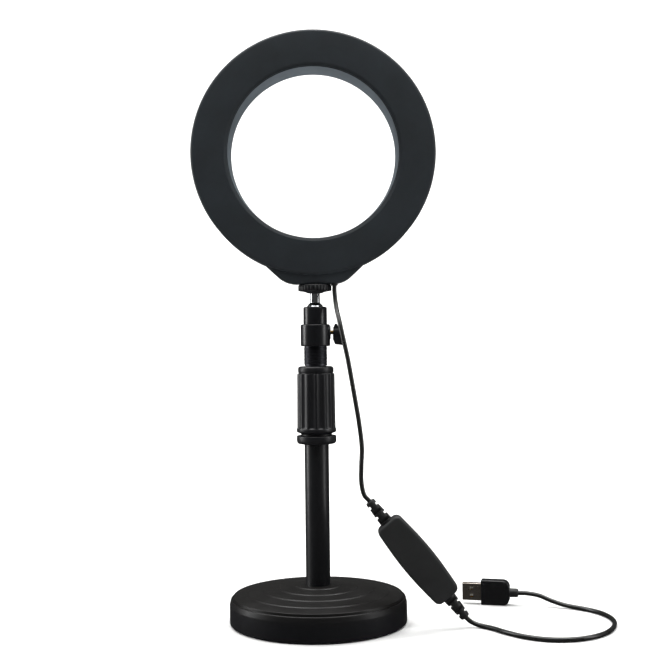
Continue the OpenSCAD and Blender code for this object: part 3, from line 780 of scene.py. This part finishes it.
# %% Clamp screw
screw_low, screw_high = box_mm("clamp_screw")
SCREW_R = screw_high.y
SCREW_ROOT = SCREW_R - 0.25
SCREW_PITCH = 0.8
core_outline = [
    (0, screw_low.x), (SCREW_ROOT, screw_low.x, 0.2), (SCREW_ROOT, screw_high.x), (0, screw_high.x)
]
screw_core = lathe(core_outline, 48, closed=False, axis="X")
screw_ridge = turn(thread(SCREW_R - 0.02, 0.24, SCREW_PITCH, 8, screw_low.x + 0.4, 36), 90, "Y")
screw_mesh = shift(join(screw_core, screw_ridge), z=SCREW_Z)
piece("thumb_screw", screw_mesh, turned_brass, "knob", ["clamp_screw"], crease=50)

# %% [markdown]
# ## The clamp knob
# The knob is a small wing on a round hub. From the side it leans outwards, away from the collar, and its
# long end gives the thumb its grip. The outline is drawn flat, pulled to a thickness and rounded at every
# rim, and then stood up beside the collar.

# %% Wing knob
wing_outline = [
    (12.1, 3.7, 0.6), (12.9, 5.8, 0.9), (14.2, 5.7, 0.7), (16, 2.2, 3), (18.6, -4.4, 2), (19.4, -6.5, 0.9),
    (18, -8.5, 1), (12.9, -7.9, 1), (11.5, -4.5, 2), (11.5, -1.8, 1), (12.1, 0.5, 1),
]
wing = turn(slab(wing_outline, -3, 3, bevel=1.1, segments=4), 90, "X")
HUB_BORE = SCREW_R + 0.05
hub_outline = [(HUB_BORE, 11.7), (3.7, 11.7, 0.4), (3.9, 13.4, 0.3), (3.9, 16.2, 0.7), (HUB_BORE, 16.2)]
hub = lathe(hub_outline, 48, 4, axis="X")
knob_mesh = shift(join(wing, hub), z=SCREW_Z)
piece("wing_knob", knob_mesh, grip_nylon, "knob", ["clamp_knob"], crease=40)

# %% [markdown]
# ## The lamp's shell
# The shell is one turned moulding: a flat back with a narrow round edge, a plain outer wall and a tapered
# inner wall. Round the hole runs a shallow bevel, and a fine step marks where the inner wall begins.

# %% Ring frame
on_ring = Matrix.Translation((0, 0, RING_Z)) @ Matrix.Rotation(math.radians(-90), 4, "X")
HOLE_SLOPE = (HOLE_BACK_R - HOLE_FRONT_R) / RING_T


def hole_r(depth, grow=0.0):
    """Radius of the centre hole at a depth, where the back is negative, and a margin added to it."""
    return HOLE_BACK_R - HOLE_SLOPE * (depth - RING_BACK) + grow


# %% Back shell
WALL = 2.0
EDGE_R = 2.0
back_outline = [
    (hole_r(RING_BACK + 1.7), RING_BACK + 1.7, 0.2), (HOLE_BACK_R + 0.35, RING_BACK + 1.65, 0.1),
    (HOLE_BACK_R + 0.4, RING_BACK + 0.7, 0.2), (HOLE_BACK_R + 2.1, RING_BACK, 0.5), (68, RING_BACK),
    (RING_R, RING_BACK, EDGE_R), (RING_R, SHELL_FRONT, 0.25), (RING_R - WALL, SHELL_FRONT, 0.2),
    (RING_R - WALL, RING_BACK + WALL, 1.0), (HOLE_BACK_R + WALL, RING_BACK + WALL, 1.0),
    (hole_r(RING_FRONT, WALL), RING_FRONT - 0.8), (hole_r(RING_FRONT, WALL - 0.3), RING_FRONT - 0.2, 0.3),
    (hole_r(RING_FRONT), RING_FRONT - 0.2, 0.5),
]
shell_mesh = lathe(back_outline, 192, 8)
# The second material is the lighter copy for the inner wall, which is painted sheen
back_shell = piece(
    "lamp_back_shell", shell_mesh, shell_abs, "head", ["back_shell"], on_ring,
    materials=[inner_abs_painted_sheen],
)

# %% [markdown]
# ## The lug under the ring
# A tapered lug hangs from the ring and takes the camera stud. It is a flat outline with a flat foot,
# rounded at its rims, and merged with the shell by an exact Boolean, so that the two are one moulding.
# The brass insert's bore and the gland's bore are cut out of its foot.

# %% Lug
LUG_HALF_Y = 8.5
lug_outline = [(-30, 240), (-31.5, 233), (-19, LUG_Z, 18), (19, LUG_Z, 18), (31.5, 233), (30, 240)]
lug = slab(lug_outline, -LUG_HALF_Y, LUG_HALF_Y, bevel=1.5, rounding=12, segments=5)
# Where the lug passes the bezel and the shell's hollow, it is taken away again
HOLLOW_BACK = RING_BACK + WALL + 0.05
bezel_room = lathe([(70, SHELL_FRONT), (RING_R + 0.2, SHELL_FRONT), (RING_R + 0.2, 12), (70, 12)], 192)
hollow = lathe([(64, HOLLOW_BACK), (77.9, HOLLOW_BACK), (77.9, 7.6), (64, 7.6)], 192)
upright = Matrix.Rotation(math.radians(90), 4, "X")
gland_low, gland_high = box_mm("cable_gland")
GLAND_X = (gland_low.x + gland_high.x) / 2
GLAND_Y = (gland_low.y + gland_high.y) / 2


def drill(radius, depth, steps):
    """A round cutter that starts 1 mm below the lug's foot."""
    return shift(lathe([(0, 0), (radius, 0), (radius, depth), (0, depth)], steps, closed=False), z=LUG_Z - 1)


gland_bore = shift(drill(2.32, 8, 32), GLAND_X, GLAND_Y)
cut(back_shell, (lug, upright, "UNION"), (bezel_room, on_ring), (hollow, on_ring))
cut(back_shell, (drill(4.42, 12, 64), Matrix()), (gland_bore, Matrix()))

# %% The inner wall in a lighter copy of the shell's ABS: painted sheen
inner = 0
for face in back_shell.data.polygons:
    at = face.center / MM
    r = math.hypot(at.x, at.z - RING_Z)
    if r < HOLE_BACK_R + 0.15 and at.y > RING_BACK + 1.9:
        face.material_index = 1
        inner += 1
print("inner wall:", inner, "faces")

# %% Front bezel
SPIGOT_R = RING_R - WALL - 0.05
bezel_outline = [
    (76.1, SHELL_FRONT - 2), (SPIGOT_R, SHELL_FRONT - 2, 0.2), (SPIGOT_R, SHELL_FRONT + 0.15),
    (RING_R, SHELL_FRONT + 0.15, 0.25), (RING_R, RING_FRONT, 2.4), (75, RING_FRONT, 0.35),
    (75, RING_FRONT - 0.75, 0.1), (76.1, RING_FRONT - 0.75),
]
bezel_mesh = lathe(bezel_outline, 192, 6)
piece("lamp_bezel", bezel_mesh, shell_abs, "head", ["front_bezel"], on_ring)

# %% Opal diffuser
LENS_BACK = 6.0
LENS_R = 76.0
LENS_HOLE = hole_r(RING_FRONT, WALL + 0.15)
lens_outline = [
    (LENS_HOLE, LENS_BACK), (LENS_R, LENS_BACK), (LENS_R, RING_FRONT - 0.85, 0.1),
    (74.9, RING_FRONT - 0.85, 0.3), (70.5, RING_FRONT - 0.12, 3.0), (62, RING_FRONT - 0.12, 3.0),
    (LENS_HOLE, RING_FRONT - 0.8, 0.4),
]
lens_mesh = lathe(lens_outline, 192, 6)
piece("opal_diffuser", lens_mesh, opal_lens, "head", ["diffuser"], on_ring)

# %% Threaded insert and cable gland
insert_low, insert_high = box_mm("thread_insert")
INSERT_BORE = 3.26
INSERT_R = 4.38
insert_outline = [
    (INSERT_BORE, insert_low.z, 0.2), (INSERT_R, insert_low.z, 0.3), (INSERT_R, insert_high.z),
    (INSERT_BORE, insert_high.z),
]
piece("brass_insert", lathe(insert_outline, 64), turned_brass, "head", ["thread_insert"])
gland_outline = [
    (1.45, gland_low.z), (2.2, gland_low.z, 0.25), (2.3, LUG_Z + 0.1), (2.3, gland_high.z),
    (1.45, gland_high.z),
]
gland_mesh = shift(lathe(gland_outline, 48, 4), GLAND_X, GLAND_Y)
piece("cord_gland", gland_mesh, relief_tpe, "head", ["cable_gland"])

# %% [markdown]
# ## The in-line controller
# The case is two shallow mouldings that meet in a fine groove. Seen flat it is a soft barrel: the sides
# bow out and the corners are round. It is built lying flat and then placed by one matrix, which stands it
# on its end, leans it and carries it to the CAD case.

# %% Case frame and outline
case_low, case_high = box_mm("controller_back_shell")
front_high = box_mm("controller_front_shell")[1]
CASE_LEAN = 39.0
CASE_L = 62.0
CASE_W = 21.5
CASE_T = front_high.y - case_low.y
case_middle = Vector(
    ((case_low.x + case_high.x) / 2, (case_low.y + front_high.y) / 2, (case_low.z + case_high.z) / 2)
)
case_upright = Matrix.Translation(case_middle) @ Matrix.Rotation(math.radians(-CASE_LEAN), 4, "Y")
on_case = case_upright @ Matrix.Rotation(math.radians(-90), 4, "X")
BOW = 1.8


def barrel(inset=0.0, sides=7):
    """The case's outline: two bowed sides and round corners, inset by a margin. Length is along Y."""
    w = CASE_W / 2 - inset
    h = CASE_L / 2 - inset
    bowed = [(-1 + 2 * k / sides) for k in range(1, sides)]
    right = [(w - BOW * t * t, (h - 4) * t) for t in bowed]
    corners = [(w - BOW * 1.1, -h, 4.2), *right, (w - BOW * 1.1, h, 4.2)]
    return corners + [(-x, -y, *rest) for x, y, *rest in corners]


# %% Case shells
def case_piece(name, low, high, rim, seam, nodes):
    """Half of the case, from low to high in depth. Its outer rim is big and round, the seam's is small."""
    bm = slab(barrel(), low, high)
    rims = [e for e in bm.edges if abs(e.verts[0].co.z - e.verts[1].co.z) < 1e-5]
    outer_rim = [e for e in rims if abs(e.verts[0].co.z - rim) < 1e-5]
    seam_rim = [e for e in rims if e not in outer_rim]
    for edges, radius, segments in [(outer_rim, 1.9, 6), (seam_rim, seam, 2)]:
        bmesh.ops.bevel(
            bm, geom=[e for e in edges if e.is_valid], offset=radius, segments=segments, profile=0.5,
            affect="EDGES", material=-1, clamp_overlap=True,
        )
    bmesh.ops.recalc_face_normals(bm, faces=bm.faces)
    return piece(name, bm, case_abs, "swivel", nodes, on_case)


HALF_T = CASE_T / 2
SEAM = case_high.y - case_middle.y
SEAM_R = 0.22
case_back = case_piece("case_back", -HALF_T, SEAM, -HALF_T, SEAM_R, ["controller_back_shell"])
case_front = case_piece("case_front", SEAM, HALF_T, HALF_T, SEAM_R, ["controller_front_shell"])

# %% Buttons in their holes
BUTTON_R = 3.2
HOLE_R = BUTTON_R + 0.25
BUTTON_TOP = HALF_T + 0.8
buttons = [
    ("power", "power_button", "power_key", 19),
    ("colour", "colour_button", "colour_key", 7),
    ("brighter", "brighter_button", "brighter_key", -5),
    ("dimmer", "dimmer_button", "dimmer_key", -17),
]
hole_outline = [(0, HALF_T - 2.6), (HOLE_R, HALF_T - 2.6), (HOLE_R, HALF_T + 1), (0, HALF_T + 1)]
button_holes = []
for *_, along in buttons:
    hole = lathe(hole_outline, 48, closed=False)
    button_holes.append((shift(hole, y=-along), on_case))
cut(case_front, *button_holes)


def symbol(word):
    """A small raised mark on a button: a bar, a cross of bars, a ring or a dot."""
    low, high = BUTTON_TOP - 0.15, BUTTON_TOP + 0.12
    bar = [(-1.3, -0.2), (1.3, -0.2), (1.3, 0.2), (-1.3, 0.2)]
    if word == "dimmer":
        return slab(bar, low, high, 0.06, segments=2)
    if word == "brighter":
        across = turn(slab(bar, low, high, 0.06, segments=2), 90, "Z")
        return join(slab(bar, low, high, 0.06, segments=2), across)
    if word == "colour":
        return lathe([(0.75, low), (1.2, low), (1.2, high, 0.06), (0.75, high, 0.06)], 32, 2)
    return lathe([(0, low), (0.7, low), (0.7, high, 0.1), (0, high)], 32, 2, closed=False)


cap_outline = [
    (0, HALF_T - 1.6), (BUTTON_R, HALF_T - 1.6, 0.1), (BUTTON_R, BUTTON_TOP - 0.12, 0.55), (0, BUTTON_TOP)
]
for word, node, body, along in buttons:
    cap = shift(join(lathe(cap_outline, 48, 5, closed=False), symbol(word)), y=-along)
    piece(word + "_cap", cap, button_abs, body, [node], on_case)

# %% [markdown]
# ## Strain reliefs
# A strain relief is soft, so that the cord bends a little all along it and not at one place. It is a slim
# cone, weakened by pairs of slots. The pairs take turns: one from the sides, the next from front and back.

# %% Slotted reliefs
RELIEF_L = 17.0
relief_outline = [
    (CORD_D / 2 - 0.05, 0), (4.3, 0, 0.1), (4.25, 1.2, 0.3), (3.1, RELIEF_L - 0.05, 0.7),
    (CORD_D / 2 + 0.1, RELIEF_L - 0.05, 0.2), (CORD_D / 2 - 0.05, RELIEF_L - 0.4),
]


def relief(name, nodes, place):
    made = piece(name, lathe(relief_outline, 64, 4), relief_tpe, "swivel", nodes, place)
    slots = []
    # Each slot: height of its foot, how far from the axis it starts, and the angle of its pair
    for low, start, angle in [(1.3, 2.5, 90), (4.6, 2.4, 0), (8.4, 2.2, 90), (12.2, 2.0, 0)]:
        for side in (0, 180):
            block = slab([(start, -6, 0), (7, -6, 0), (7, 6, 0), (start, 6, 0)], low, low + 2.1)
            slots.append((turn(block, angle + side, "Z"), place))
    return cut(made, *slots)


case_top = case_upright @ Matrix.Translation((0, 0, CASE_L / 2))
head_down = Matrix.Rotation(math.radians(180), 4, "X")
case_foot = case_upright @ Matrix.Translation((0, 0, -CASE_L / 2)) @ head_down
upper_relief = relief("relief_to_lamp", ["upper_relief"], case_top)
lower_relief = relief("relief_to_plug", ["lower_relief"], case_foot)

# %% [markdown]
# ## The plug
# The plug has standard sizes: a bent metal shell 12 mm wide and 4.5 mm thick, with two spring windows on
# each face, in a glossy moulded body. The shell is a rounded bar whose inside and windows are cut out.

# %% Plug frame
PLUG_AT = Vector(LOWER_ROUTE[-1])
PLUG_TURN = 75.0
NECK_L = 6.0
BODY_L = 19.5
BODY_HALF = 8.5
SHELL_L = 13.0
on_edge = Matrix.Rotation(math.radians(-90), 4, "Y")
on_plug = Matrix.Translation(PLUG_AT) @ Matrix.Rotation(math.radians(PLUG_TURN), 4, "Z") @ on_edge
along_plug = on_plug @ Matrix.Rotation(math.radians(-90), 4, "X")

# %% Plug body
body_outline = [
    (-BODY_HALF, NECK_L + BODY_L, 0.8), (-BODY_HALF, NECK_L, 4.6), (BODY_HALF, NECK_L, 4.6),
    (BODY_HALF, NECK_L + BODY_L, 0.8),
]
body_mesh = slab(body_outline, -4, 4, bevel=2.0, rounding=8, segments=5)
plug_body = piece("plug_body", body_mesh, plug_pvc, "plug", ["usb_body"], on_plug)

# %% Metal shell
def bar_outline(width, height, corner=0.0, x=0.0, y=0.0):
    """A rectangle about a middle point, with its corners rounded."""
    w, h = width / 2, height / 2
    return [(x + sx * w, y + sy * h, corner) for sx, sy in ((-1, -1), (1, -1), (1, 1), (-1, 1))]


MOUTH = NECK_L + BODY_L + SHELL_L
WINDOW_APART = 2.6
WINDOW_AT = MOUTH - 6.4
shell_bar = slab(bar_outline(12, 4.5, 0.7), NECK_L + BODY_L - 5, MOUTH, bevel=0.12, segments=2)
metal_shell = piece(
    "plug_shell", shell_bar, brushed_nickel, "plug", ["usb_shell"], along_plug
)
inside = (slab(bar_outline(11.2, 3.7, 0.35), NECK_L + BODY_L - 4.6, MOUTH + 2), along_plug)
windows = [
    (slab(bar_outline(2.2, 2.4, x=side * WINDOW_APART, y=WINDOW_AT), -4, 4), on_plug) for side in (-1, 1)
]
cut(metal_shell, inside, *windows)

# %% Plug relief
NECK_END = NECK_L + 0.4
neck_outline = [(1.45, 0.05), (2.5, 0.05, 0.7), (3.05, 1.4, 0.8), (3.05, NECK_END), (1.45, NECK_END)]
neck_mesh = lathe(neck_outline, 48, 3)
plug_neck = piece("plug_neck", neck_mesh, relief_tpe, "plug", ["plug_relief"], along_plug)

# %% [markdown]
# ## Parts that stay from the CAD
# The parts inside the housings are right as they are. They only need the finish of the real material, so
# that a cut-away view or an open mouth shows nylon, brass or a circuit board, and not plain grey.

# %% Finishes for inner parts
inner_finishes = {
    cast_iron: ["base_weight"],
    zinc_plate: ["base_bolt", "base_washer", "pole_plug", "board_screws", "tact_switches"],
    natural_nylon: ["collet", "tube_bush", "swivel_seat"],
    turned_brass: ["brake_pad"],
    white_board: ["led_board"],
    diode_resin: ["leds"],
    cord_pvc: ["inner_lead"],
    green_board: ["controller_board"],
    tongue_plastic: ["usb_tongue"],
    gold_flash: ["usb_contacts"],
}
for finish, names in inner_finishes.items():
    for name in names:
        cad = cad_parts[name]
        cad.data.materials.clear()
        cad.data.materials.append(finish)
print("inner parts:", sum(len(names) for names in inner_finishes.values()))

# %% [markdown]

# %% [markdown]
# ## Studio
# A pale sweep runs from the table up behind the light, so that no horizon shows. Large soft lights give
# the long, quiet highlights that a black object needs: one wide source above, and a tall one each side.

# %% Sweep
def sweep():
    bm = bmesh.new()
    outline = [(-2600, 0), (1700, 0, 900), (1700, 3200)]
    verts = [bm.verts.new((-3500, p.x, p.y)) for p in rounded(outline, 24, closed=False)]
    edges = [bm.edges.new(pair) for pair in zip(verts, verts[1:])]
    grown = bmesh.ops.extrude_edge_only(bm, edges=edges)["geom"]
    moved = [g for g in grown if isinstance(g, bmesh.types.BMVert)]
    bmesh.ops.translate(bm, verts=moved, vec=(7000, 0, 0))
    bmesh.ops.transform(bm, matrix=Matrix.Scale(MM, 4), verts=bm.verts)
    shade(bm)
    mesh = bpy.data.meshes.new("sweep")
    bm.to_mesh(mesh)
    bm.free()
    paper, tree, shader, at = surface("studio_paper", "#f4f4f3", 0.75, IOR=1.35)
    tone = blend_colours(tree, noise(tree, at, 300), "#f2f2f1", "#f6f6f5")
    tree.links.new(tone, shader.inputs["Base Color"])
    mesh.materials.append(paper)
    made = bpy.data.objects.new("sweep", mesh)
    scene.collection.objects.link(made)
    # The paper lights the object but isn't mirrored in it, as if black cards stood just out of view
    made.visible_glossy = False
    return made


sweep()


# %% Lights
def soft_light(name, at, aim, width, height, power):
    """An area light in millimetres that faces a point."""
    data = bpy.data.lights.new(name, "AREA")
    data.shape = "RECTANGLE"
    data.size = width * MM
    data.size_y = height * MM
    data.energy = power
    made = bpy.data.objects.new(name, data)
    made.location = Vector(at) * MM
    made.rotation_mode = "QUATERNION"
    made.rotation_quaternion = ((Vector(aim) - Vector(at)) * MM).to_track_quat("-Z", "Y")
    scene.collection.objects.link(made)


soft_light("overhead", (0, -300, 1350), (0, 0, 150), 1800, 800, 17)
soft_light("left_tall", (-1300, 150, 480), (0, 0, 200), 350, 1100, 9)
soft_light("right_tall", (1250, -350, 480), (0, 0, 200), 350, 1100, 5)
soft_light("backdrop", (0, 650, 1900), (0, 1400, 200), 3200, 500, 60)

# %% World
world = bpy.data.worlds.new("studio")
scene.world = world
world.use_nodes = True
sky = world.node_tree.nodes["Background"]
sky.inputs["Color"].default_value = (1, 1, 1, 1)
# The room beyond the paper looks pale, but gives the object almost no light
seen = add(world.node_tree, "ShaderNodeLightPath").outputs["Is Camera Ray"]
strength = spread(world.node_tree, seen, 0.05, 0.9, start=0, end=1)
world.node_tree.links.new(strength, sky.inputs["Strength"])
scene.view_settings.view_transform = "Standard"
